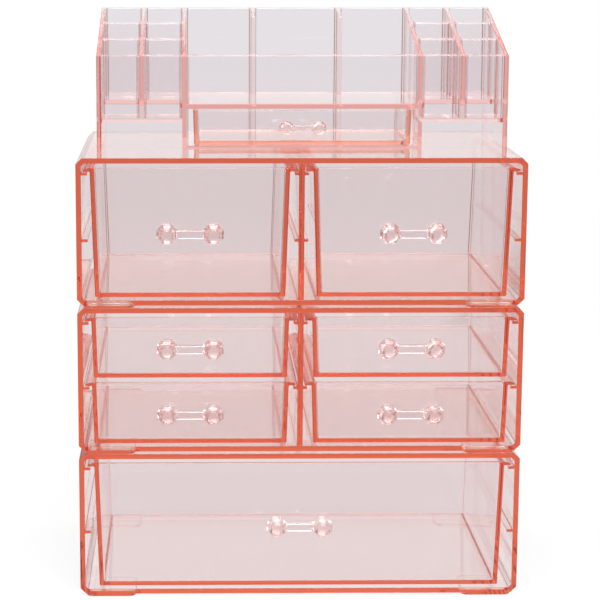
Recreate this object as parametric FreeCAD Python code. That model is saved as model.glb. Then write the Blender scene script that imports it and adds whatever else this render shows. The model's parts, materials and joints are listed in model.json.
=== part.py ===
"""Clear pink stacking drawers for a dressing table.

Three cases from one mould stand on each other and hold seven drawers, and a tray with
compartments and a small drawer stands on top. The large drawers hang by flanges on rails
inside their case. Every drawer has a moulded handle of two faceted knobs and a bar.

X runs to the right, the drawers pull out towards -Y and Z is up. The origin is on the ground,
under the middle of the whole with its handles. Lengths are millimetres.
"""

import FreeCAD, Part
import math
import os

V = FreeCAD.Vector

# Cases
case_width = 238.0
case_depth = 137.0
case_height = 78.6  # without the feet
case_wall = 2.8
case_chamfer = 3.2  # on the four long edges
foot_height = 1.4
foot_width = 27.0
foot_length = 20.0
foot_corner = 4.0

# Rails on the sides of a case and on both faces of a divider, and the divider itself
rail_drop = 7.6  # from the top of the case to the top of the first rail
rail_pitch = 35.4
rail_reach = 3.2
rail_thickness = 1.6  # at its tip
rail_taper = 0.8  # what a rail gains in thickness at its root
rail_setback = 1.0  # behind the front of the case
divider_thickness = 3.0
divider_rail_reach = 2.2

# Drawers of the cases
drawer_wall = 2.2
drawer_floor = 1.8
drawer_draft = 1.9  # degrees that the sides and the back lean in towards the floor
drawer_corner = 1.0  # outer upright corners
drawer_inner_corner = 2.0  # corners of the hollow
drawer_rise = 2.35  # of the drawer's rim above its rail
drawer_floor_gap = 1.7  # under the lowest drawer
drawer_stack_gap = 2.7  # between a drawer's rim and the drawer above
drawer_setback = 0.4  # of the front behind the case's front
drawer_back_gap = 0.8
flange_reach = 3.6
flange_tip = 1.0  # thickness at the tip
flange_side_gap = 0.95  # from the tip to the wall or the divider
wide_flange_side_gap = 1.75  # the same on the wide drawer
slide_play = 0.3  # between a drawer and what it slides on

# Handles: a knob's octagons are measured across flats, and its stations from the drawer's front
knob_neck = 7.6
knob_girdle = 10.8
knob_shoulder = 8.7
knob_table = 5.8
girdle_start = 2.4
girdle_end = 4.6
shoulder_at = 9.4
knob_length = 13.0
knob_spacing = 24.5
bar_height = 4.0
bar_depth = 4.5
bar_start = 3.0
bar_chamfer = 0.7
peg_width = 3.8  # across its flats
peg_length = 1.3
peg_play = 0.1  # between a peg and its socket, all round and at the end
small_handle_scale = 0.72  # the tray drawer's handle against the others

# Tray
tray_width = 225.4
tray_depth = 83.0
tray_front_height = 50.7
tray_back_height = 72.8
tray_wall = 2.5
tray_setback = 50.4  # of its front behind the case's front
tray_shift = 2.8  # it stands loose, this far right of the middle
tray_corner = 1.6  # upright corners of its hollows
section_width = 49.4  # from the tray's side to the inner face of a section wall
shelf_top = 23.8
shelf_thickness = 2.6
front_floor_top = 15.9  # floor of the front row of compartments
front_floor_thickness = 2.4
base_thickness = 1.0  # under the small drawer
rear_rib_spacing = 49.7
rear_rib_length = 15.5  # in front of the back wall
row_count = 3
column_count = 2

# The tray's drawer
small_drawer_side_gap = 3.4
small_drawer_top_gap = 0.8
small_drawer_wall = 2.0
small_drawer_setback = 0.4
small_drawer_back_gap = 0.8

handle_standout = knob_length - drawer_setback
front_y = (handle_standout - case_depth) / 2
back_y = front_y + case_depth
case_pitch = case_height + foot_height
case_inner_half = case_width / 2 - case_wall
tray_front_y = front_y + tray_setback
tray_back_y = tray_front_y + tray_depth
rear_rib_y = tray_back_y - tray_wall - rear_rib_length
tray_z = 3 * case_pitch
shelf_underside = shelf_top - shelf_thickness


def prism(points, direction):
    """A closed outline carried straight along a vector."""
    return Part.Face(Part.makePolygon(points + points[:1])).extrude(direction)


def stacked(rings):
    """A solid with flat sides through rings of equally many corners."""
    outlines = [rings[0], rings[-1]]
    for near, far in zip(rings, rings[1:]):
        for index in range(len(near)):
            following = (index + 1) % len(near)
            outlines.append([near[index], near[following], far[following], far[index]])
    faces = [Part.Face(Part.makePolygon(outline + outline[:1])) for outline in outlines]
    return Part.makeSolid(Part.Shell(faces)).removeSplitter()


def block(x0, x1, y0, y1, z0, z1):
    return Part.makeBox(x1 - x0, y1 - y0, z1 - z0, V(x0, y0, z0))


def rounded_outline(x0, x1, y0, y1, z, radius):
    """A level rectangle with round corners, as one wire."""
    turn = radius * (1 - math.sqrt(0.5))
    sides = [
        (V(x0 + radius, y0, z), V(x1 - radius, y0, z)),
        (V(x1, y0 + radius, z), V(x1, y1 - radius, z)),
        (V(x1 - radius, y1, z), V(x0 + radius, y1, z)),
        (V(x0, y1 - radius, z), V(x0, y0 + radius, z)),
    ]
    middles = [
        V(x1 - turn, y0 + turn, z),
        V(x1 - turn, y1 - turn, z),
        V(x0 + turn, y1 - turn, z),
        V(x0 + turn, y0 + turn, z),
    ]
    edges = []
    for index, (start, end) in enumerate(sides):
        following = sides[(index + 1) % 4][0]
        edges.append(Part.LineSegment(start, end).toShape())
        edges.append(Part.Arc(end, middles[index], following).toShape())
    return Part.Wire(edges)


def rounded_block(x0, x1, y0, y1, z0, z1, radius):
    outline = rounded_outline(x0, x1, y0, y1, z0, radius)
    return Part.Face(outline).extrude(V(0, 0, z1 - z0))


def chamfered_section(half_width, z0, z1, chamfer, y):
    """The case's section across its depth: a rectangle with its four corners cut off."""
    return [
        V(-half_width + chamfer, y, z0),
        V(half_width - chamfer, y, z0),
        V(half_width, y, z0 + chamfer),
        V(half_width, y, z1 - chamfer),
        V(half_width - chamfer, y, z1),
        V(-half_width + chamfer, y, z1),
        V(-half_width, y, z1 - chamfer),
        V(-half_width, y, z0 + chamfer),
    ]


def case_floor_z(level):
    """Underside of the case body at a level of the stack, above its feet."""
    return level * case_pitch + foot_height


def rail_tops(level):
    top = case_floor_z(level) + case_height
    return [top - rail_drop, top - rail_drop - rail_pitch]


def rail(root_x, reach, side, top_z):
    """One rail: side is 1 where it points to +X."""
    root_y = front_y + rail_setback
    points = [
        V(root_x, root_y, top_z),
        V(root_x + side * reach, root_y, top_z),
        V(root_x + side * reach, root_y, top_z - rail_thickness),
        V(root_x, root_y, top_z - rail_thickness - rail_taper),
    ]
    return prism(points, V(0, back_y - case_wall - root_y, 0))


def case_shell(level):
    """A case open at the front, with two rails on each side and four feet."""
    z0 = case_floor_z(level)
    z1 = z0 + case_height
    inner_chamfer = case_chamfer - case_wall * (2 - math.sqrt(2))
    outer = prism(
        chamfered_section(case_width / 2, z0, z1, case_chamfer, front_y), V(0, case_depth, 0)
    )
    hollow = prism(
        chamfered_section(
            case_inner_half, z0 + case_wall, z1 - case_wall, inner_chamfer, front_y
        ),
        V(0, case_depth - case_wall, 0),
    )
    added = []
    for top_z in rail_tops(level):
        added.append(rail(-case_inner_half, rail_reach, 1, top_z))
        added.append(rail(case_inner_half, rail_reach, -1, top_z))
    edge_x = case_width / 2 - case_chamfer
    for x0 in (-edge_x, edge_x - foot_width):
        for y0 in (front_y, back_y - foot_length):
            added.append(
                rounded_block(
                    x0, x0 + foot_width, y0, y0 + foot_length, z0 - foot_height, z0, foot_corner
                )
            )
    return outer.cut(hollow).fuse(added).removeSplitter()


def divider(level):
    """The upright panel between two columns of drawers, with rails on both faces."""
    z0 = case_floor_z(level) + case_wall
    half = divider_thickness / 2
    panel = block(
        -half, half, front_y, back_y - case_wall, z0, z0 + case_height - 2 * case_wall
    )
    rails = []
    for top_z in rail_tops(level):
        rails.append(rail(half, divider_rail_reach, 1, top_z))
        rails.append(rail(-half, divider_rail_reach, -1, top_z))
    return panel.fuse(rails).removeSplitter()


def leaning_block(x0, x1, y0, y1, z0, z1, corner):
    """A block whose sides and back lean in towards its bottom, with round upright corners."""
    lean = (z1 - z0) * math.tan(math.radians(drawer_draft))
    rings = []
    for z, inset in ((z0, lean), (z1, 0)):
        far_y = y1 - inset
        rings.append(
            [V(x0 + inset, y0, z), V(x1 - inset, y0, z), V(x1 - inset, far_y, z), V(x0 + inset, far_y, z)]
        )
    solid = stacked(rings)
    upright = [edge for edge in solid.Edges if edge.BoundBox.ZLength > (z1 - z0) / 2]
    return solid.makeFillet(corner, upright)


def tapered_tub(x0, x1, y0, y1, z0, z1, wall, floor):
    """An open box with leaning sides and back, and an upright front."""
    outer = leaning_block(x0, x1, y0, y1, z0, z1, drawer_corner)
    hollow = leaning_block(
        x0 + wall, x1 - wall, y0 + wall, y1 - wall, z0 + floor, z1, drawer_inner_corner
    )
    return outer.cut(hollow)


def flange(rim_x, side, rim_z, y0, y1):
    """The lip that carries a drawer: flat underneath, and falling away on top to its tip."""
    under_z = rim_z - drawer_rise + slide_play
    root_x = rim_x - side * drawer_wall / 2
    tip_x = rim_x + side * flange_reach
    points = [
        V(root_x, y0, under_z),
        V(tip_x, y0, under_z),
        V(tip_x, y0, under_z + flange_tip),
        V(rim_x, y0, rim_z),
        V(root_x, y0, rim_z),
    ]
    return prism(points, V(0, y1 - y0, 0))


def octagon(x, y, z, across):
    """Corners of an upright octagon facing -Y, with level top and bottom sides."""
    radius = across / 2 / math.cos(math.pi / 8)
    angles = [math.pi / 8 + turn * math.pi / 4 for turn in range(8)]
    return [V(x + radius * math.cos(a), y, z + radius * math.sin(a)) for a in angles]


def pegs(x, y, z, scale, play):
    """A handle's two pegs, behind a drawer front at y, or their sockets where play is given."""
    across = peg_width * scale + 2 * play
    depth = peg_length * scale + play
    offset = knob_spacing * scale / 2
    return [prism(octagon(x + side * offset, y, z, across), V(0, depth, 0)) for side in (-1, 1)]


def hanging_drawer(x0, x1, z0, rim_z):
    """A drawer of a case, with its two flanges and the sockets for its handle."""
    y0 = front_y + drawer_setback
    y1 = back_y - case_wall - drawer_back_gap
    tub = tapered_tub(x0, x1, y0, y1, z0, rim_z, drawer_wall, drawer_floor)
    flange_y0 = y0 + drawer_corner
    flange_y1 = y1 - drawer_corner
    flanges = [
        flange(x0, -1, rim_z, flange_y0, flange_y1),
        flange(x1, 1, rim_z, flange_y0, flange_y1),
    ]
    sockets = pegs((x0 + x1) / 2, y0, (z0 + rim_z) / 2, 1.0, peg_play)
    return tub.fuse(flanges).cut(sockets).removeSplitter()


def knob(x, y, z, scale):
    """A faceted knob: it widens from its neck to a girdle and narrows in two rings of facets."""
    stations = [
        (0, knob_neck),
        (girdle_start, knob_girdle),
        (girdle_end, knob_girdle),
        (shoulder_at, knob_shoulder),
        (knob_length, knob_table),
    ]
    return stacked([octagon(x, y - out * scale, z, across * scale) for out, across in stations])


def handle(x, y, z, scale):
    """Two knobs, the bar between them and a peg behind each knob."""
    offset = knob_spacing * scale / 2
    half = bar_height * scale / 2
    cut = bar_chamfer * scale
    near_y = y - bar_start * scale
    far_y = near_y - bar_depth * scale
    points = [
        V(x - offset, near_y, z - half),
        V(x - offset, far_y + cut, z - half),
        V(x - offset, far_y, z - half + cut),
        V(x - offset, far_y, z + half - cut),
        V(x - offset, far_y + cut, z + half),
        V(x - offset, near_y, z + half),
    ]
    bar = prism(points, V(2 * offset, 0, 0))
    knobs = [knob(x + side * offset, y, z, scale) for side in (-1, 1)]
    return bar.fuse(knobs + pegs(x, y, z, scale, 0)).removeSplitter()


def tray_top_z(y):
    """Height of the tray's sloping rim above its base, at a distance behind its front."""
    share = (y - tray_wall) / (tray_depth - 2 * tray_wall)
    return tray_front_height + (tray_back_height - tray_front_height) * min(max(share, 0), 1)


def tray_body():
    """The tray's outside: its side view, carried across its width."""
    x0 = tray_shift - tray_width / 2
    side_view = [
        V(x0, tray_front_y, tray_z),
        V(x0, tray_back_y, tray_z),
        V(x0, tray_back_y, tray_z + tray_top_z(tray_depth)),
        V(x0, tray_back_y - tray_wall, tray_z + tray_top_z(tray_depth)),
        V(x0, tray_front_y + tray_wall, tray_z + tray_top_z(0)),
        V(x0, tray_front_y, tray_z + tray_top_z(0)),
    ]
    return prism(side_view, V(tray_width, 0, 0))


def cells(start, end, count, wall):
    """Equal cells from start to end with a wall between neighbours."""
    size = (end - start - (count - 1) * wall) / count
    return [
        (start + index * (size + wall), start + index * (size + wall) + size)
        for index in range(count)
    ]


def section_ranges():
    """The two side sections' inner faces, left and right."""
    left = tray_shift - tray_width / 2 + tray_wall
    right = tray_shift + tray_width / 2 - tray_wall
    inner = section_width - 2 * tray_wall
    return [(left, left + inner), (right - inner, right)]


def side_pockets():
    """The compartments of both side sections: the front row is deeper than the others."""
    rows = cells(tray_front_y + tray_wall, tray_back_y - tray_wall, row_count, tray_wall)
    pockets = []
    for x0, x1 in section_ranges():
        for column in cells(x0, x1, column_count, tray_wall):
            for row_index, row in enumerate(rows):
                floor_z = tray_z + (front_floor_top if row_index == 0 else shelf_top)
                pockets.append(
                    rounded_block(
                        *column, *row, floor_z, tray_z + tray_back_height + 1, tray_corner
                    )
                )
    return pockets


def side_hollows():
    """The space under both side sections, open below, stepped as their floors are."""
    rows = cells(tray_front_y + tray_wall, tray_back_y - tray_wall, row_count, tray_wall)
    step_y = rows[0][1]
    front_ceiling = tray_z + front_floor_top - front_floor_thickness
    hollows = []
    for x0, x1 in section_ranges():
        hollows.append(block(x0, x1, rows[0][0], tray_back_y - tray_wall, tray_z, front_ceiling))
        hollows.append(
            block(
                x0, x1, step_y + tray_wall, tray_back_y - tray_wall, tray_z, tray_z + shelf_underside
            )
        )
    return hollows


def middle_range():
    """The section walls' faces on both sides of the tray's middle."""
    left, right = section_ranges()
    return left[1] + tray_wall, right[0] - tray_wall


def rear_bays():
    """The sides of the three bays that the two ribs leave at the back of the tray's middle."""
    x0, x1 = middle_range()
    half_rib = tray_wall / 2
    left_rib = tray_shift - rear_rib_spacing / 2
    right_rib = tray_shift + rear_rib_spacing / 2
    return [
        (x0, left_rib - half_rib),
        (left_rib + half_rib, right_rib - half_rib),
        (right_rib + half_rib, x1),
    ]


def centre_pockets():
    """The open middle above the shelf, with two short ribs left standing at the back wall."""
    x0, x1 = middle_range()
    floor_z = tray_z + shelf_top
    top_z = tray_z + tray_back_height + 1
    front_y0 = tray_front_y + tray_wall
    front = rounded_block(x0, x1, front_y0, rear_rib_y, floor_z, top_z, tray_corner)
    bay_y0 = rear_rib_y - 2 * tray_corner
    bay_y1 = tray_back_y - tray_wall
    bays = [
        rounded_block(*bay, bay_y0, bay_y1, floor_z, top_z, tray_corner) for bay in rear_bays()
    ]
    return [front] + bays


def tray_garage():
    """The space for the small drawer, open at the front, and the bays between the ribs' feet."""
    x0, x1 = middle_range()
    floor_z = tray_z + base_thickness
    top_z = tray_z + shelf_underside
    garage = block(x0, x1, tray_front_y, rear_rib_y, floor_z, top_z)
    bay_y0 = rear_rib_y - 2 * tray_corner
    bay_y1 = tray_back_y - tray_wall
    bays = [
        rounded_block(*bay, bay_y0, bay_y1, floor_z, top_z, tray_corner) for bay in rear_bays()
    ]
    return [garage] + bays


def top_tray():
    cuts = side_pockets() + side_hollows() + centre_pockets() + tray_garage()
    return tray_body().cut(cuts).removeSplitter()


def small_drawer_box():
    """Corners of the tray's drawer, which ends in front of the ribs."""
    x0, x1 = middle_range()
    return (
        x0 + small_drawer_side_gap,
        x1 - small_drawer_side_gap,
        tray_front_y + small_drawer_setback,
        rear_rib_y - small_drawer_back_gap,
        tray_z + base_thickness + slide_play,
        tray_z + shelf_underside - small_drawer_top_gap,
    )


def tray_drawer():
    x0, x1, y0, y1, z0, z1 = small_drawer_box()
    tub = tapered_tub(x0, x1, y0, y1, z0, z1, small_drawer_wall, drawer_floor)
    sockets = pegs((x0 + x1) / 2, y0, (z0 + z1) / 2, small_handle_scale, peg_play)
    return tub.cut(sockets).removeSplitter()


def tray_drawer_handle():
    x0, x1, y0, _, z0, z1 = small_drawer_box()
    return handle((x0 + x1) / 2, y0, (z0 + z1) / 2, small_handle_scale)


def bay(side):
    """Rim-level sides of a drawer: side is -1 or 1 beside a divider, 0 for the whole width."""
    overhang = flange_reach + flange_side_gap
    if side == 0:
        overhang = flange_reach + wide_flange_side_gap
        return -case_inner_half + overhang, case_inner_half - overhang
    inner = divider_thickness / 2 + overhang
    outer = case_inner_half - overhang
    return (inner, outer) if side > 0 else (-outer, -inner)


def drawer_heights(level, row):
    """Floor and rim of a drawer: row is deep, top or bottom."""
    first, second = [top_z + drawer_rise for top_z in rail_tops(level)]
    lowest = case_floor_z(level) + case_wall + drawer_floor_gap
    return {
        "deep": (lowest, first),
        "top": (second + drawer_stack_gap, first),
        "bottom": (lowest, second),
    }[row]


CASES = ["lower", "middle", "upper"]
DRAWERS = {
    "lower_drawer": (0, 0, "deep"),
    "middle_top_left_drawer": (1, -1, "top"),
    "middle_top_right_drawer": (1, 1, "top"),
    "middle_bottom_left_drawer": (1, -1, "bottom"),
    "middle_bottom_right_drawer": (1, 1, "bottom"),
    "upper_left_drawer": (2, -1, "deep"),
    "upper_right_drawer": (2, 1, "deep"),
}


def build():
    """Every piece by name."""
    pieces = {}
    for level, name in enumerate(CASES):
        pieces[name + "_case"] = case_shell(level)
        if level > 0:
            pieces[name + "_divider"] = divider(level)
    for name, (level, side, row) in DRAWERS.items():
        x0, x1 = bay(side)
        z0, rim_z = drawer_heights(level, row)
        pieces[name] = hanging_drawer(x0, x1, z0, rim_z)
        pieces[name + "_handle"] = handle(
            (x0 + x1) / 2, front_y + drawer_setback, (z0 + rim_z) / 2, 1.0
        )
    pieces["top_tray"] = top_tray()
    pieces["tray_drawer"] = tray_drawer()
    pieces["tray_drawer_handle"] = tray_drawer_handle()
    return pieces


os.makedirs("parts", exist_ok=True)
for piece_name, shape in build().items():
    solids = shape.Solids
    print(piece_name, len(solids), "solid, valid", shape.isValid(), round(shape.Volume / 1000, 2))
    (solids[0] if len(solids) == 1 else shape).exportStep("parts/" + piece_name + ".step")
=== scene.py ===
"""The look of the clear pink stacking drawers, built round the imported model.

Every piece is a closed skin of acrylic: rings of matching points, joined ring to ring. Light that
goes through it loses green and blue on its way, so a thin wall looks pale and a wall seen edge-on
looks coral.
"""

import json
import math

import bmesh
import bpy
import numpy as np
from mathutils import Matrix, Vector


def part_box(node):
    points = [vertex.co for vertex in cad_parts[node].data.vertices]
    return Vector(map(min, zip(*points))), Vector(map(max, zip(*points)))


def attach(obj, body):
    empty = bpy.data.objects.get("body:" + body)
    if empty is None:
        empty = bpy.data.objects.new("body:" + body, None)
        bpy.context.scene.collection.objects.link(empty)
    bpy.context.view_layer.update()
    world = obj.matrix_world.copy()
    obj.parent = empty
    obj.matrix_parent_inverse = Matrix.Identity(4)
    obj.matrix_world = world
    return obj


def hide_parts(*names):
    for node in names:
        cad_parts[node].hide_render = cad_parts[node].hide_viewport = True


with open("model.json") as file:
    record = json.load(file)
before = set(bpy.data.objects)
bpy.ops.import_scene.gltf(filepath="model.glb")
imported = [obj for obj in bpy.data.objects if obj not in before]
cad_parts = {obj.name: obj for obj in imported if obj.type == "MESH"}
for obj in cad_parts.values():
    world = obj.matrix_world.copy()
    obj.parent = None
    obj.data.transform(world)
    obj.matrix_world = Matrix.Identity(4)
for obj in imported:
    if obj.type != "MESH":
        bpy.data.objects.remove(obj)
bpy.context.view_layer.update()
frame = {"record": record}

MM = 0.001
EPS = 1e-7  # a step to just before or just after a place
MERGE_DISTANCE = 1e-6
FLAT_ANGLE = 0.1  # faces within this angle, in degrees, count as one plane

# Cases
CASE_WALL = 2.8 * MM
CASE_CHAMFER = 3.2 * MM
INNER_CHAMFER = CASE_CHAMFER - CASE_WALL * (2 - math.sqrt(2))
FOOT_HEIGHT = 1.4 * MM
FOOT_WIDTH = 27.0 * MM
FOOT_LENGTH = 20.0 * MM
FOOT_CORNER = 4.0 * MM

# Rails, on the cases and on the dividers
RAIL_DROP = 7.6 * MM
RAIL_PITCH = 35.4 * MM
RAIL_REACH = 3.2 * MM
RAIL_THICKNESS = 1.6 * MM
RAIL_CROWN = 0.1 * MM
RAIL_SETBACK = 1.0 * MM
DIVIDER_RAIL_REACH = 2.2 * MM
SEAM = 0.04 * MM  # left between pieces that touch, so that no two faces share a plane

# Drawers
DRAWER_WALL = 2.2 * MM
SMALL_DRAWER_WALL = 2.0 * MM
DRAWER_FLOOR = 1.8 * MM
DRAWER_SLOPE = math.tan(math.radians(1.9))
DRAWER_CORNER = 1.0 * MM
INNER_CORNER = 1.2 * MM
FLOOR_FILLET = 0.8 * MM
FLANGE_REACH = 3.6 * MM
FLANGE_UNDER = 2.05 * MM  # from the rim down to the flange's underside
FLANGE_TIP = 1.0 * MM

# Handles, in mm: how far a ring of a knob stands out from its drawer, and its width across flats
KNOB_RINGS = np.array(
    [(0.04, 7.6), (2.4, 10.8), (3.0, 10.8), (4.6, 10.8), (7.5, 9.53), (9.4, 8.7), (13.0, 5.8)]
)
BAR_RINGS = (2, 3, 4)
KNOB_SIDES = 8  # counted anticlockwise from the one above the right-hand side
RIGHT_SIDE = KNOB_SIDES - 1
LEFT_SIDE = KNOB_SIDES // 2 - 1
KNOB_SPACING = 24.5
SMALL_HANDLE = 0.72  # the small drawer's handle, against the others

# Tray
TRAY_WALL = 2.5 * MM
TRAY_FRONT_HEIGHT = 50.7 * MM
TRAY_CORNER = 1.6 * MM
SECTION_WIDTH = 49.4 * MM
SHELF_TOP = 23.8 * MM
SHELF_THICKNESS = 2.6 * MM
FRONT_FLOOR_TOP = 15.9 * MM
FRONT_FLOOR_THICKNESS = 2.4 * MM
BASE_THICKNESS = 1.0 * MM
RIB_SPACING = 49.7 * MM
RIB_LENGTH = 15.5 * MM
ROWS = 3
COLUMNS = 2
SHELF_STEPS = 19  # points along the shelf, so that its ring has as many as the side sections'
GARAGE_POINTS = 6  # points round the hollow for the small drawer

# Acrylic
CORAL = (0.945, 0.32, 0.045)  # what white light turns into on a long way through
PINK = (0.96, 0.27, 0.17)
REFRACTION = 1.49
HAZE_SCALE = 22.0
HAZE_DETAIL = 3.0
HAZE_RANGE = (0.35, 0.7)
HAZE_ROUGHNESS = 0.03
WAVE_SCALE = 34.0
WAVE_HEIGHT = 1.0 * MM

# Name, tint at each face, colour through, depth of colour, strength of the waves, softness
FINISHES = {
    "case_acrylic": ("clear_case", (0.96, 0.936, 0.941), CORAL, 20.0, 0.02, 0.0),
    "drawer_acrylic": ("clear_drawer", (0.965, 0.956, 0.97), CORAL, 20.0, 0.02, 0.0),
    "tray_acrylic": ("clear_tray", (0.98, 0.976, 0.985), PINK, 12.0, 0.02, 0.0),
    "handle_acrylic": ("clear_handle", (0.98, 0.97, 0.98), PINK, 12.0, 0.0, 0.1),
}

# Studio
WHITE = (1, 1, 1, 1)
NEAR_PAPER_PAINTED_LIGHT = (0.88, 0.868, 0.892, 1)  # painted light: the glow the acrylic shows in place of the floor, near the object
# painted light: the floor's glow further off, a little darker
FAR_PAPER_PAINTED_LIGHT = (0.82, 0.81, 0.835, 1)
LANES = 8.0  # lanes of light that lead away from the object, between dim stretches
LANE_EDGE = (-0.95, -0.3)  # a lane fades out between these cosines of LANES times the heading
FRONT_EDGE = (2.6, 2.9)  # headings between which the front lane begins, in radians
FRONT_LANE = 0.5  # the share of light that the front lane keeps
# the room's dim light, and the painted shade on the floor between the lanes
DIM_ROOM_AND_PAINTED_SHADE = (0.32, 0.19, 0.17, 1)
CEILING = (0.1, 0.75)  # the room turns white between these heights, on a sphere of radius 1
PAPER = (0.92, 0.92, 0.92, 1)
PAPER_ROUGHNESS = 0.9
PAPER_SHINE = 0.1
PLAIN_WHITE = (0.2, 1.4)  # the floor fades to plain white between these distances, in metres
LEAST_WHITE = 0.8
ALL_LIT = (0.6, 1.1)  # within the first distance the whole floor is lit, not only the lanes
FOOT_LIT = (0.15, 0.3)  # within the first distance the front lane is lit in full too
PAINTED_LIGHT_FALLOFF = (0.5, 1.6)  # painted light that dims from the floor's near glow to its far glow
FLOOR_RINGS = np.array([0.0, 0.5, 1.5, 4.0, 9.0])
FLOOR_SIDES = 64
BOUNCES = 256  # light crosses dozens of clear walls on its way

# Name, place, aim, width, height and power
LAMPS = [
    ("key_light", (-0.9, -1.1, 1.3), (0, 0, 0.15), 0.5, 0.5, 9.0),
    ("top_light", (0.1, -0.75, 1.25), (0, 0, 0.2), 0.5, 0.9, 8.0),
    ("fill_light", (1.3, -0.7, 0.7), (0, 0, 0.15), 0.4, 0.6, 5.0),
]

# Camera
LENS = 121.4
SENSOR_WIDTH = 36.0
SIDE_SHIFT = 0.1468
CAMERA_PLACE = (-0.0602, -1.1181, 0.3629)
CAMERA_DIP = 10.647  # how far it looks down, in degrees
CAMERA_TURN = -0.697

# Polished edges
EDGE_ROUND = 0.35 * MM
RIM_ROUND = 1.2 * MM
FACET_ROUND = 0.15 * MM
ROUNDED_ANGLE = 32.0  # edges that turn by more than this, in degrees, are rounded
ROUND_STEPS = 2
SKIN_CREASE = 28.0
FACET_CREASE = 5.0
FLATNESS = 100  # how strongly a large face keeps its own direction
ARC_STEPS = 5


# --- Skins ---


def skin(name, rings, merge_flats=True):
    """A closed mesh through rings of equally many points, its first and last rings capped."""
    rings = np.asarray(rings)
    count, points, _ = rings.shape
    index = np.arange(count * points).reshape(count, points)
    following = np.roll(index, -1, axis=1)
    quads = np.stack([index[:-1], following[:-1], following[1:], index[1:]], axis=-1)
    faces = quads.reshape(-1, 4).tolist() + [index[0].tolist(), index[-1].tolist()]
    return finished(name, rings.reshape(-1, 3), faces, EDGE_ROUND, SKIN_CREASE, merge_flats)


def finished(name, points, faces, edge_round, crease, merge_flats=True):
    """An object from points and faces: doubles merged, faces turned outwards, edges rounded.

    Faces that meet at less than crease, in degrees, are shaded as one rounding. merge_flats
    joins faces that lie in one plane, but never round a hole.
    """
    mesh = bpy.data.meshes.new(name)
    mesh.from_pydata(points.tolist(), [], faces)
    work = bmesh.new()
    work.from_mesh(mesh)
    bmesh.ops.remove_doubles(work, verts=work.verts, dist=MERGE_DISTANCE)
    if merge_flats:
        bmesh.ops.dissolve_limit(
            work, angle_limit=math.radians(FLAT_ANGLE), verts=work.verts, edges=work.edges
        )
    bmesh.ops.recalc_face_normals(work, faces=work.faces)
    work.to_mesh(mesh)
    work.free()
    mesh.shade_smooth()
    mesh.set_sharp_from_angle(angle=math.radians(crease))
    piece = bpy.data.objects.new(name, mesh)
    bpy.context.scene.collection.objects.link(piece)
    bevel = piece.modifiers.new("polished edges", "BEVEL")
    bevel.width = edge_round
    bevel.segments = ROUND_STEPS
    bevel.limit_method = "ANGLE"
    bevel.angle_limit = math.radians(ROUNDED_ANGLE)
    bevel.harden_normals = True
    flats = piece.modifiers.new("flat faces stay flat", "WEIGHTED_NORMAL")
    flats.weight = FLATNESS
    flats.keep_sharp = True
    return piece


def quarter_turn():
    """A quarter circle of radius 1 from its side to its end: how far along it, and how far in."""
    turn = np.linspace(0, math.pi / 2, ARC_STEPS)
    return 1 - np.cos(turn), 1 - np.sin(turn)


def rounded_corners(x0, x1, y0, y1, radius):
    """A rectangle's four corners as quarter circles, anticlockwise from the front left."""
    turn = np.linspace(0, math.pi / 2, ARC_STEPS)
    centres = [
        (x0 + radius, y0 + radius, math.pi),
        (x1 - radius, y0 + radius, 1.5 * math.pi),
        (x1 - radius, y1 - radius, 0.0),
        (x0 + radius, y1 - radius, 0.5 * math.pi),
    ]
    return [
        np.column_stack([x + radius * np.cos(start + turn), y + radius * np.sin(start + turn)])
        for x, y, start in centres
    ]


def along_y(section, y):
    """A section's points in X and Z, put at one place along Y."""
    x, z = np.array(section).T
    return np.column_stack([x, np.full(len(x), y), z])


# --- Cases and dividers: a section in X and Z, carried along Y ---


def railed_wall(x, side, case_top, reach):
    """A wall's upward run with its two rails, which step out towards side by reach.

    Where reach is nothing, the same points lie flat on the wall.
    """
    tip = x + side * reach
    points = []
    for rail_top in (case_top - RAIL_DROP - RAIL_PITCH, case_top - RAIL_DROP):
        points += [
            (x, rail_top - RAIL_THICKNESS),
            (tip, rail_top - RAIL_THICKNESS),
            (tip, rail_top - RAIL_CROWN),
            (x, rail_top),
        ]
    return points


def mirrored(points):
    """The same run of points on the other side of X = 0, in the opposite order."""
    return [(-x, z) for x, z in reversed(points)]


def case_section(half, bottom, top, cut, case_top, reach=0.0, draw=FOOT_CORNER, drop=0.0):
    """A case's section: a rectangle with its corners cut off, two rails a side and two feet.

    The feet stand out by drop, and their sides are drawn in by draw.
    """
    edge = half - cut
    foot = [
        (edge - FOOT_WIDTH + draw, bottom),
        (edge - FOOT_WIDTH + draw, bottom - drop),
        (edge - draw, bottom - drop),
        (edge - draw, bottom),
    ]
    right = [(edge, bottom), (half, bottom + cut)]
    right += railed_wall(half, -1, case_top, reach) + [(half, top - cut), (edge, top)]
    return mirrored(foot) + foot + right + mirrored(right)


def foot_run(start):
    """Places along one foot, with the drop and the draw of its sides: its corners are round."""
    along, inwards = quarter_turn()
    end = start + FOOT_LENGTH
    ys = np.concatenate([start + FOOT_CORNER * along, end - FOOT_CORNER * along[::-1]])
    draws = FOOT_CORNER * np.concatenate([inwards, inwards[::-1]])
    run = [(y, draw, FOOT_HEIGHT - SEAM) for y, draw in zip(ys, draws)]
    return [(start, FOOT_CORNER, 0.0)] + run + [(end, FOOT_CORNER, 0.0)]


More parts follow.
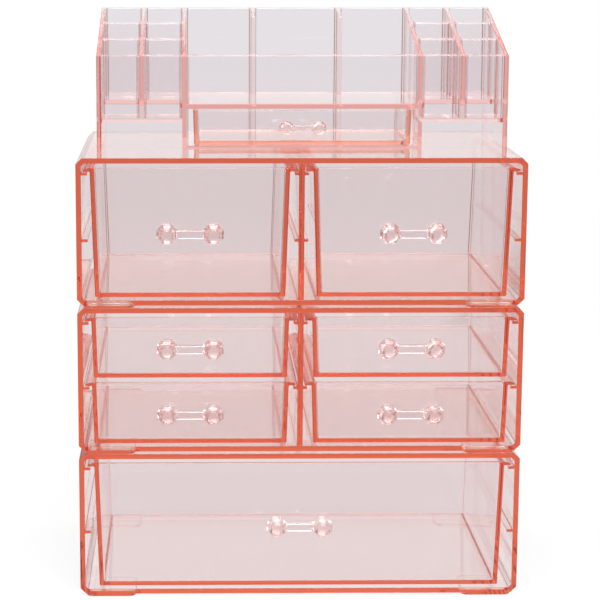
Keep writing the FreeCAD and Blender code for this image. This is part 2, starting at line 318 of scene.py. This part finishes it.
def case_skin(node):
    """A case: from its back plate forwards outside, and from its front edge back to its floor."""
    (x0, y0, z0), (x1, y1, top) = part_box(node)
    bottom = z0 + FOOT_HEIGHT
    outside = foot_run(y0) + foot_run(y1 - FOOT_LENGTH)
    rings = [
        along_y(case_section(x1, bottom, top, CASE_CHAMFER, top, 0.0, draw, drop), y)
        for y, draw, drop in reversed(outside)
    ]
    inner = (x1 - CASE_WALL, bottom + CASE_WALL, top - CASE_WALL, INNER_CHAMFER, top)
    rail_start = y0 + RAIL_SETBACK
    places = [(y0, 0.0), (rail_start, 0.0), (rail_start, RAIL_REACH), (y1 - CASE_WALL, RAIL_REACH)]
    rings += [along_y(case_section(*inner, reach), y) for y, reach in places]
    return skin("acrylic_" + node, rings)


def divider_skin(node, case):
    """A divider: its rails stick out on both faces, from a little behind its front edge."""
    (x0, y0, z0), (x1, y1, z1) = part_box(node)
    case_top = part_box(case)[1][2]
    half = x1 - DIVIDER_RAIL_REACH
    bottom, top, back = z0 + SEAM, z1 - SEAM, y1 - SEAM
    rail_start = y0 + RAIL_SETBACK
    rings = []
    for y, reach in [
        (y0, 0.0),
        (rail_start, 0.0),
        (rail_start, DIVIDER_RAIL_REACH),
        (back, DIVIDER_RAIL_REACH),
    ]:
        right = [(half, bottom)] + railed_wall(half, 1, case_top, reach) + [(half, top)]
        rings.append(along_y(right + mirrored(right), y))
    return skin("acrylic_" + node, rings)


# --- Drawers: level rounded rectangles, stacked in Z ---


def drawer_ring(x0, x1, y0, y1, z, radius, reach, flange_y):
    """A level ring round a drawer, with both sides pushed out by reach between flange_y."""
    front_left, front_right, back_right, back_left = rounded_corners(x0, x1, y0, y1, radius)
    start, end = np.clip(flange_y, y0 + radius, y1 - radius)
    right = [(x1, start), (x1 + reach, start), (x1 + reach, end), (x1, end)]
    left = [(x0, end), (x0 - reach, end), (x0 - reach, start), (x0, start)]
    outline = np.concatenate([front_left, front_right, right, back_right, back_left, left])
    return np.column_stack([outline, np.full(len(outline), z)])


def drawer_skin(node, wall, flanged):
    """A drawer: its sides and back lean in towards its floor, and its hollow is filleted."""
    (x0, y0, floor), (x1, y1, rim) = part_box(node)
    floor += SEAM
    if flanged:
        x0 += FLANGE_REACH
        x1 -= FLANGE_REACH
    flange_y = (y0 + DRAWER_CORNER, y1 - DRAWER_CORNER)

    def ring(z, inset, radius, tip=0.0):
        """tip is how far the flange reaches past the rim's side, or 0 where there is none."""
        lean = (rim - z) * DRAWER_SLOPE
        side = lean + inset
        reach = tip + lean if tip else 0.0
        return drawer_ring(
            x0 + side, x1 - side, y0 + inset, y1 - side, z, radius, reach, flange_y
        )

    rings = [ring(floor, 0.0, DRAWER_CORNER)]
    if flanged:
        under = rim - FLANGE_UNDER + SEAM
        rings += [ring(under, 0.0, DRAWER_CORNER), ring(under, 0.0, DRAWER_CORNER, FLANGE_REACH)]
        rings.append(ring(under + FLANGE_TIP, 0.0, DRAWER_CORNER, FLANGE_REACH))
    rings += [ring(rim, 0.0, DRAWER_CORNER), ring(rim, wall, INNER_CORNER)]
    along, inwards = quarter_turn()
    for across, down in zip(along, inwards):
        z = floor + DRAWER_FLOOR + FLOOR_FILLET * down
        inset = FLOOR_FILLET * across
        rings.append(ring(z, wall + inset, INNER_CORNER - inset))
    return skin("acrylic_" + node, rings, merge_flats=False)


# --- Handles: two knobs of octagonal rings, and the bar between their facing sides ---


def handle_skin(node, drawer, scale):
    """A handle on the middle of a drawer's front.

    A ring is an octagon with level top and bottom sides. The bar joins the two knobs' facing
    sides at the rings of BAR_RINGS, so it's as high as those sides.
    """
    (x0, y0, floor), (x1, _, rim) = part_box(drawer)
    middle = np.array([(x0 + x1) / 2, y0, (floor + rim) / 2])
    half_side = math.pi / KNOB_SIDES
    angles = half_side + np.arange(KNOB_SIDES) * 2 * half_side
    radii = KNOB_RINGS[:, 1] / 2 / math.cos(half_side)
    ring_count = len(KNOB_RINGS)
    knob = np.stack(
        [
            radii[:, None] * np.cos(angles),
            -np.repeat(KNOB_RINGS[:, :1], KNOB_SIDES, axis=1),
            radii[:, None] * np.sin(angles),
        ],
        axis=-1,
    )
    offset = np.array([KNOB_SPACING / 2, 0, 0])
    points = np.stack([knob - offset, knob + offset]) * MM * scale + middle
    index = np.arange(2 * ring_count * KNOB_SIDES).reshape(2, ring_count, KNOB_SIDES)
    following = np.roll(index, -1, axis=2)
    quads = np.stack([index[:, :-1], following[:, :-1], following[:, 1:], index[:, 1:]], axis=-1)
    keep = np.ones(quads.shape[:3], bool)
    keep[0, BAR_RINGS[0] : BAR_RINGS[-1], RIGHT_SIDE] = False
    keep[1, BAR_RINGS[0] : BAR_RINGS[-1], LEFT_SIDE] = False
    bar = list(BAR_RINGS)
    left_end = np.concatenate([index[0, bar, RIGHT_SIDE], index[0, bar[::-1], 0]])
    right_end = np.concatenate([index[1, bar, LEFT_SIDE + 1], index[1, bar[::-1], LEFT_SIDE]])
    sides = np.stack([left_end, np.roll(left_end, -1), np.roll(right_end, -1), right_end], axis=-1)
    ends = index[:, [0, -1]].reshape(-1, KNOB_SIDES)
    faces = quads[keep].tolist() + sides.tolist() + ends.tolist()
    edge_round = FACET_ROUND * scale
    return finished("acrylic_" + node, points.reshape(-1, 3), faces, edge_round, FACET_CREASE)


# --- Tray: a section in Y and Z, carried along X ---


def cells(start, end, count, wall):
    """Equal cells from start to end with a wall between neighbours."""
    size = (end - start - (count - 1) * wall) / count
    starts = start + np.arange(count) * (size + wall)
    return [(a, a + size) for a in starts]


def corner_draw(x, start, end):
    """How far a hollow's round corners draw its ends in, at x between start and end."""
    depth = max(TRAY_CORNER - min(x - start, end - x), 0.0)
    return TRAY_CORNER - math.sqrt(TRAY_CORNER**2 - depth**2)


def rim_drop(distance):
    """How far a rounded rim has dropped, at a distance from its wall's face."""
    short = max(RIM_ROUND - max(distance, 0.0), 0.0)
    return RIM_ROUND - math.sqrt(RIM_ROUND**2 - short**2)


def tray_skin(node):
    """The tray: its section changes wherever a compartment, a rib or a hollow starts or ends.

    The tops of all its walls are rounded. Near a wall's face the top drops by a quarter circle,
    and where two walls cross, the one that has dropped less shows.
    """
    (x0, y0, z0), (x1, y1, z1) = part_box(node)
    back, front = y1 - TRAY_WALL, y0 + TRAY_WALL
    rib_y = back - RIB_LENGTH
    garage_top = z0 + SHELF_TOP - SHELF_THICKNESS
    garage_floor = z0 + BASE_THICKNESS
    rows = cells(front, back, ROWS, TRAY_WALL)
    step_y = rows[1][0]
    low_ceiling = z0 + FRONT_FLOOR_TOP - FRONT_FLOOR_THICKNESS
    inner = SECTION_WIDTH - 2 * TRAY_WALL
    sections = [(x0 + TRAY_WALL, x0 + TRAY_WALL + inner), (x1 - TRAY_WALL - inner, x1 - TRAY_WALL)]
    middle = (sections[0][1] + TRAY_WALL, sections[1][0] - TRAY_WALL)
    columns = [cell for section in sections for cell in cells(*section, COLUMNS, TRAY_WALL)]
    rib_edges = [
        (x0 + x1) / 2 + side * RIB_SPACING / 2 + edge * TRAY_WALL / 2
        for side in (-1, 1)
        for edge in (-1, 1)
    ]
    bays = [(middle[0], rib_edges[0]), (rib_edges[1], rib_edges[2]), (rib_edges[3], middle[1])]
    along, inwards = quarter_turn()
    from_face, drops = RIM_ROUND * along, RIM_ROUND * inwards

    def rim(y):
        """The rim is level over the front and back walls and slopes between them."""
        return z0 + np.interp(y, [front, back], [TRAY_FRONT_HEIGHT, z1 - z0])

    def holding(x, ranges):
        return next((cell for cell in ranges if cell[0] < x < cell[1]), None)

    def wall_drop(x, at):
        """How far the tops of the walls along Y have dropped at x."""
        if holding(at, columns + bays):
            return RIM_ROUND
        return rim_drop(min(abs(x - face) for cell in columns + bays for face in cell))

    def hollow(far, near, floor, drop, tip=()):
        """A hollow's edges and floor, from its back to its front: Y, drop of the rim, floor."""
        back_edge = [(far + d, min(drop, fall), None) for d, fall in zip(from_face, drops)]
        front_edge = [(near - d, min(drop, fall), None) for d, fall in zip(from_face, drops)]
        return back_edge[::-1] + list(tip) + floor + front_edge

    def side_top(x, at):
        """The compartments' ends and floors, from the back row forwards."""
        column = holding(at, columns)
        draw = corner_draw(x, *column) if column else TRAY_CORNER
        drop = wall_drop(x, at)
        points = []
        for row, (start, end) in reversed(list(enumerate(rows))):
            level = z0 + (FRONT_FLOOR_TOP if row == 0 else SHELF_TOP) if column else None
            far, near = end - draw, start + draw
            points += hollow(far, near, [(far, drop, level), (near, drop, level)], drop)
        return points

    def middle_top(x, at):
        """The shelf, up to the back wall in a bay and up to the rib elsewhere."""
        inside = middle[0] < at < middle[1]
        bay = holding(at, bays)
        drop = wall_drop(x, at)
        far = back - (corner_draw(x, *bay) if bay else TRAY_CORNER)
        near = front + (corner_draw(x, *middle) if inside else TRAY_CORNER)
        level = z0 + SHELF_TOP if inside else None
        if bay:
            tip = [(far, drop, level)] * ARC_STEPS
        elif inside:
            tip = [(rib_y + d, max(drop, fall), None) for d, fall in zip(from_face, drops)][::-1]
        else:
            tip = [(rib_y, drop, None)] * ARC_STEPS
        floor_ys = [far if bay else rib_y, *np.linspace(rib_y, front + TRAY_CORNER, SHELF_STEPS), near]
        return hollow(far, near, [(y, drop, level) for y in floor_ys], drop, tip)

    def section(x, side):
        """The ring just before or just after x: top, front, underside and back."""
        at = x + side * EPS
        over_side = at < sections[0][1] + TRAY_WALL / 2 or at > sections[1][0] - TRAY_WALL / 2
        points = side_top(x, at) if over_side else middle_top(x, at)
        end_drop = rim_drop(min(x - x0, x1 - x))
        face_y, rear_y = y0 + end_drop, y1 - end_drop
        outer_edge = [(d, fall) for d, fall in zip(from_face, drops)]
        points = (
            [(rear_y - d, fall, None) for d, fall in outer_edge]
            + [(max(back, points[0][0]), 0.0, None)]
            + points
            + [(min(front, points[-1][0]), 0.0, None)]
            + [(face_y + d, fall, None) for d, fall in outer_edge[::-1]]
        )
        top_ys = [y for y, _, _ in points]
        top_zs = [
            rim(y) - max(drop, end_drop) if level is None else level for y, drop, level in points
        ]
        bay = holding(at, bays)
        if middle[0] < at < middle[1]:
            end = back - corner_draw(x, *bay) if bay else rib_y
            front_ys = [face_y, rib_y, end, end, rib_y, face_y]
            front_zs = [garage_top] * 3 + [garage_floor] * 3
        else:
            front_ys = [face_y] * GARAGE_POINTS
            front_zs = np.linspace(garage_top, garage_floor, GARAGE_POINTS)
        under_ys = [front, front, step_y, step_y, back, back]
        base = z0 + SEAM
        under_zs = [base] * len(under_ys)
        if holding(at, sections):
            under_zs = [base, low_ceiling, low_ceiling, garage_top, garage_top, base]
        else:
            under_ys[2] -= TRAY_WALL
        ys = [*top_ys, *front_ys, face_y, *under_ys, rear_y]
        zs = [*top_zs, *front_zs, base, *under_zs, base]
        return np.column_stack([np.full(len(ys), x), ys, zs])

    draws = TRAY_CORNER * along
    places = {(x0 + d, 1) for d in from_face} | {(x1 - d, -1) for d in from_face}
    for start, end in columns + bays:
        places |= {(start + d, 1) for d in draws} | {(end - d, -1) for d in draws}
        places |= {(start - d, -1) for d in from_face} | {(end + d, 1) for d in from_face}
    return skin("acrylic_" + node, [section(x, side) for x, side in sorted(places)])


# --- Finishes ---


def clear_acrylic(name, tint, through, depth_of_colour, waviness, softness):
    """Clear pink moulded acrylic.

    Light that goes a long way through it turns towards the colour through. Its polish has faint
    broad waves from the mould, and a breath of haze that comes and goes. softness is the least
    roughness of its faces.
    """
    material = bpy.data.materials.new(name)
    material.use_nodes = True
    nodes, links = material.node_tree.nodes, material.node_tree.links
    shader = nodes["Principled BSDF"]
    shader.inputs["Base Color"].default_value = (*tint, 1)
    shader.inputs["Transmission Weight"].default_value = 1.0
    shader.inputs["IOR"].default_value = REFRACTION
    where = nodes.new("ShaderNodeTexCoord")
    haze = nodes.new("ShaderNodeTexNoise")
    haze.inputs["Scale"].default_value = HAZE_SCALE
    haze.inputs["Detail"].default_value = HAZE_DETAIL
    links.new(where.outputs["Object"], haze.inputs["Vector"])
    polish = nodes.new("ShaderNodeMapRange")
    polish.inputs["From Min"].default_value = HAZE_RANGE[0]
    polish.inputs["From Max"].default_value = HAZE_RANGE[1]
    polish.inputs["To Min"].default_value = softness
    polish.inputs["To Max"].default_value = softness + HAZE_ROUGHNESS
    links.new(haze.outputs["Fac"], polish.inputs["Value"])
    links.new(polish.outputs["Result"], shader.inputs["Roughness"])
    wave = nodes.new("ShaderNodeTexNoise")
    wave.inputs["Scale"].default_value = WAVE_SCALE
    wave.inputs["Detail"].default_value = 0.0
    links.new(where.outputs["Object"], wave.inputs["Vector"])
    bump = nodes.new("ShaderNodeBump")
    bump.inputs["Strength"].default_value = waviness
    bump.inputs["Distance"].default_value = WAVE_HEIGHT
    links.new(wave.outputs["Fac"], bump.inputs["Height"])
    links.new(bump.outputs["Normal"], shader.inputs["Normal"])
    depth = nodes.new("ShaderNodeVolumeAbsorption")
    depth.inputs["Color"].default_value = (*through, 1)
    depth.inputs["Density"].default_value = depth_of_colour
    links.new(depth.outputs["Volume"], nodes["Material Output"].inputs["Volume"])
    return material


def combine(tree, operation, first, second=0.0):
    """A math node; second is a socket or a plain number, which some operations leave out."""
    node = tree.nodes.new("ShaderNodeMath")
    node.operation = operation
    tree.links.new(first, node.inputs[0])
    if isinstance(second, float):
        node.inputs[1].default_value = second
    else:
        tree.links.new(second, node.inputs[1])
    return node.outputs["Value"]


def ramp(tree, value, start, end, low, high):
    """A smooth change from low to high while value goes from start to end."""
    node = tree.nodes.new("ShaderNodeMapRange")
    node.interpolation_type = "SMOOTHSTEP"
    node.inputs["From Min"].default_value = start
    node.inputs["From Max"].default_value = end
    node.inputs["To Min"].default_value = low
    node.inputs["To Max"].default_value = high
    tree.links.new(value, node.inputs["Value"])
    return node.outputs["Result"]


def glow(tree, colour, kind="ShaderNodeEmission"):
    """A shader of plain light, of strength 1."""
    node = tree.nodes.new(kind)
    node.inputs["Color"].default_value = colour
    return node.outputs[0]


def blend(tree, share, first, second):
    """A mix of two shaders, where share is the second one's."""
    node = tree.nodes.new("ShaderNodeMixShader")
    tree.links.new(share, node.inputs["Fac"])
    tree.links.new(first, node.inputs[1])
    tree.links.new(second, node.inputs[2])
    return node.outputs["Shader"]


def lanes(tree, x, y, near):
    """The share of light at each heading: light comes along lanes, with dim stretches between.

    The lanes run square to the object's sides and half-way between them. near is the least
    share that any heading gets. After that, the front lane is weakened.
    """
    heading = combine(tree, "ARCTAN2", x, y)
    wave = combine(tree, "COSINE", combine(tree, "MULTIPLY", heading, LANES))
    lit = combine(tree, "MAXIMUM", ramp(tree, wave, *LANE_EDGE, 0.0, 1.0), near)
    front = ramp(tree, combine(tree, "ABSOLUTE", heading), *FRONT_EDGE, 1.0, FRONT_LANE)
    return combine(tree, "MULTIPLY", lit, front)


def floor_paper():
    """Pale seamless paper: it shows soft shadows near the object and fades to white far off.

    Seen through the acrylic or in it, the paper is painted light: a cool grey glow that dims far
    off, and painted shade between its lanes of light.
    """
    material = bpy.data.materials.new("studio_floor")
    material.use_nodes = True
    tree = material.node_tree
    shader = tree.nodes["Principled BSDF"]
    shader.inputs["Base Color"].default_value = PAPER
    shader.inputs["Roughness"].default_value = PAPER_ROUGHNESS
    shader.inputs["Specular IOR Level"].default_value = PAPER_SHINE
    path = tree.nodes.new("ShaderNodeLightPath")
    where = tree.nodes.new("ShaderNodeTexCoord")
    split = tree.nodes.new("ShaderNodeSeparateXYZ")
    tree.links.new(where.outputs["Object"], split.inputs["Vector"])
    length = tree.nodes.new("ShaderNodeVectorMath")
    length.operation = "LENGTH"
    tree.links.new(where.outputs["Object"], length.inputs[0])
    distance = length.outputs["Value"]

    share = ramp(tree, distance, *PLAIN_WHITE, LEAST_WHITE, 1.0)
    seen = combine(tree, "MULTIPLY", share, path.outputs["Is Camera Ray"])
    white = glow(tree, WHITE)
    paper = blend(tree, seen, shader.outputs["BSDF"], white)

    near = ramp(tree, distance, *ALL_LIT, 1.0, 0.0)
    under = ramp(tree, distance, *FOOT_LIT, 1.0, 0.0)
    ways = lanes(tree, split.outputs["X"], split.outputs["Y"], near)
    lit = combine(tree, "MAXIMUM", ways, under)
    far = ramp(tree, distance, *PAINTED_LIGHT_FALLOFF, 0.0, 1.0)
    # Painted light: to the acrylic the floor glows instead of being lit, and its glow dims further
    # off.
    painted_paper_light = blend(tree, far, glow(tree, NEAR_PAPER_PAINTED_LIGHT), glow(tree, FAR_PAPER_PAINTED_LIGHT))
    # Painted shade: between the lanes the floor glows only dimly.
    painted_light_and_shade = blend(tree, lit, glow(tree, DIM_ROOM_AND_PAINTED_SHADE), painted_paper_light)
    acrylic = combine(
        tree, "MAXIMUM", path.outputs["Is Glossy Ray"], path.outputs["Is Transmission Ray"]
    )
    surface = tree.nodes["Material Output"].inputs["Surface"]
    tree.links.new(blend(tree, acrylic, paper, painted_light_and_shade), surface)
    return material


# --- Studio ---


def studio_floor():
    """A level disc of paper under the object: rings of points round its middle."""
    turn = np.linspace(0, 2 * math.pi, FLOOR_SIDES, endpoint=False)
    x = FLOOR_RINGS[:, None] * np.cos(turn)
    y = FLOOR_RINGS[:, None] * np.sin(turn)
    points = np.stack([x, y, np.zeros_like(x)], axis=-1).reshape(-1, 3)
    index = np.arange(len(points)).reshape(x.shape)
    following = np.roll(index, -1, axis=1)
    quads = np.stack([index[:-1], index[1:], following[1:], following[:-1]], axis=-1)
    mesh = bpy.data.meshes.new("studio_floor")
    mesh.from_pydata(points.tolist(), [], quads.reshape(-1, 4).tolist())
    floor = bpy.data.objects.new("studio_floor", mesh)
    floor.data.materials.append(floor_paper())
    bpy.context.scene.collection.objects.link(floor)


def softbox(name, place, aim, width, height, power):
    """A rectangular lamp at place, turned to face aim."""
    data = bpy.data.lights.new(name, "AREA")
    data.shape = "RECTANGLE"
    data.size = width
    data.size_y = height
    data.energy = power
    lamp = bpy.data.objects.new(name, data)
    direction = np.array(aim) - np.array(place)
    heading = math.atan2(direction[1], direction[0])
    tilt = math.acos(-direction[2] / np.linalg.norm(direction))
    lamp.location = place
    lamp.rotation_euler = (tilt, 0, heading - math.pi / 2)
    bpy.context.scene.collection.objects.link(lamp)


def studio_world():
    """A white room with a white ceiling, which is dim between its lanes of light."""
    world = bpy.data.worlds.new("studio")
    bpy.context.scene.world = world
    world.use_nodes = True
    tree = world.node_tree
    tree.nodes.remove(tree.nodes["Background"])
    where = tree.nodes.new("ShaderNodeTexCoord")
    split = tree.nodes.new("ShaderNodeSeparateXYZ")
    tree.links.new(where.outputs["Generated"], split.inputs["Vector"])
    walls = lanes(tree, split.outputs["X"], split.outputs["Y"], 0.0)
    ceiling = ramp(tree, split.outputs["Z"], *CEILING, 0.0, 1.0)
    path = tree.nodes.new("ShaderNodeLightPath")
    room = combine(tree, "MAXIMUM", walls, ceiling)
    share = combine(tree, "MAXIMUM", room, path.outputs["Is Camera Ray"])
    dim = glow(tree, DIM_ROOM_AND_PAINTED_SHADE, "ShaderNodeBackground")
    white = glow(tree, WHITE, "ShaderNodeBackground")
    tree.links.new(blend(tree, share, dim, white), tree.nodes["World Output"].inputs["Surface"])


def studio_camera():
    """A long lens, a little above and to the left of the object."""
    data = bpy.data.cameras.new("camera")
    data.lens = LENS
    data.sensor_width = SENSOR_WIDTH
    data.shift_x = SIDE_SHIFT
    camera = bpy.data.objects.new("camera", data)
    camera.location = CAMERA_PLACE
    camera.rotation_euler = (math.radians(90 - CAMERA_DIP), 0, math.radians(CAMERA_TURN))
    bpy.context.scene.collection.objects.link(camera)
    bpy.context.scene.camera = camera


def studio():
    bpy.context.scene.view_settings.view_transform = "Standard"
    studio_floor()
    studio_world()
    studio_camera()
    for lamp in LAMPS:
        softbox(*lamp)
    settings = bpy.context.scene.cycles
    settings.max_bounces = BOUNCES
    settings.transmission_bounces = BOUNCES
    settings.glossy_bounces = BOUNCES


# --- The object ---


def dress():
    """One skin for each node, with its finish and the body that it rides on."""
    finishes = {slot: clear_acrylic(*finish) for slot, finish in FINISHES.items()}
    for body, nodes in frame["record"]["behaviour"]["bodies"].items():
        for node in nodes:
            if node.endswith("_case"):
                piece, slot = case_skin(node), "case_acrylic"
            elif node.endswith("_divider"):
                piece = divider_skin(node, node.replace("_divider", "_case"))
                slot = "case_acrylic"
            elif node == "top_tray":
                piece, slot = tray_skin(node), "tray_acrylic"
            elif node.endswith("_handle"):
                drawer = node.removesuffix("_handle")
                scale = SMALL_HANDLE if drawer == "tray_drawer" else 1.0
                piece, slot = handle_skin(node, drawer, scale), "handle_acrylic"
            elif node == "tray_drawer":
                piece, slot = drawer_skin(node, SMALL_DRAWER_WALL, False), "drawer_acrylic"
            else:
                piece, slot = drawer_skin(node, DRAWER_WALL, True), "drawer_acrylic"
            piece.data.materials.append(finishes[slot])
            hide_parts(node)
            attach(piece, body)


dress()
studio()
